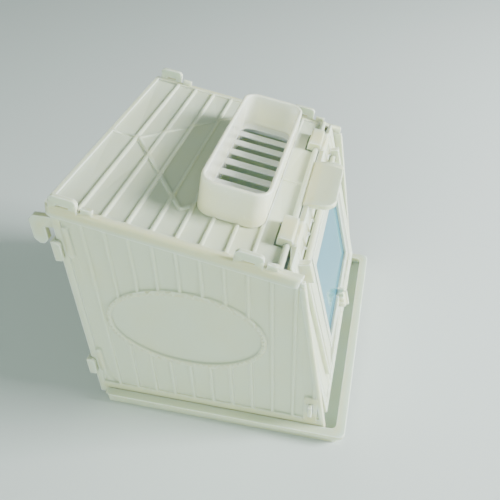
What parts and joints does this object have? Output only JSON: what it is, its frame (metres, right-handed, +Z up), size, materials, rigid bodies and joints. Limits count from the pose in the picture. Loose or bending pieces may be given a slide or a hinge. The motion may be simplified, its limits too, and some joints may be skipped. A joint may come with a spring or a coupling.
{
  "type": "parrot breeding box",
  "caption": "Clip-together plastic nest box that hangs on a cage, with a slotted roof basket, a hinged front with a window door and turn latch, and a pull-out tray.",
  "frame": {"origin": "middle of the overall box, on the surface that the tray stands on", "axes": "+Z up; -Y out of the front, where the window door, the thumb tab and the tray's front rim are; +Y to the back, where the hooks and the round entrance are; +X to the right seen from the back"},
  "size_m": [0.1502, 0.149, 0.1352],
  "materials": {
    "panels": "semi-matt cream polypropylene, slightly translucent",
    "tray": "semi-matt cream polypropylene",
    "window": "clear, pale blue-grey polystyrene",
    "knob": "semi-matt pale cream polypropylene"
  },
  "bodies": {
    "shell": {"side_left": "panels", "side_right": "panels", "back_panel": "panels", "front_sill": "panels", "roof_panel": "panels", "roof_basket": "panels"},
    "tray": {"tray": "tray"},
    "front_flap": {"front_panel": "panels"},
    "window_door": {"door_frame": "panels", "window_pane": "window"},
    "latch": {"latch_knob": "knob", "latch_cam": "knob"}
  },
  "joints": [
    {"name": "tray_slide", "type": "slide", "parent": "shell", "child": "tray", "axis": [0, -1, 0], "range_m": [0, 0.115]},
    {"name": "flap_hinge", "type": "hinge", "parent": "shell", "child": "front_flap", "pos_m": [0, -0.03899, 0.10843], "axis": [-1, 0, 0], "range_deg": [0, 95]},
    {"name": "door_hinge", "type": "hinge", "parent": "front_flap", "child": "window_door", "pos_m": [0, -0.04744, 0.09614], "axis": [-1, 0, 0], "range_deg": [0, 100]},
    {"name": "latch_turn", "type": "hinge", "parent": "window_door", "child": "latch", "pos_m": [0, -0.06056, 0.03294], "axis": [0, -0.9781, 0.2079], "range_deg": [0, 90]}
  ]
}
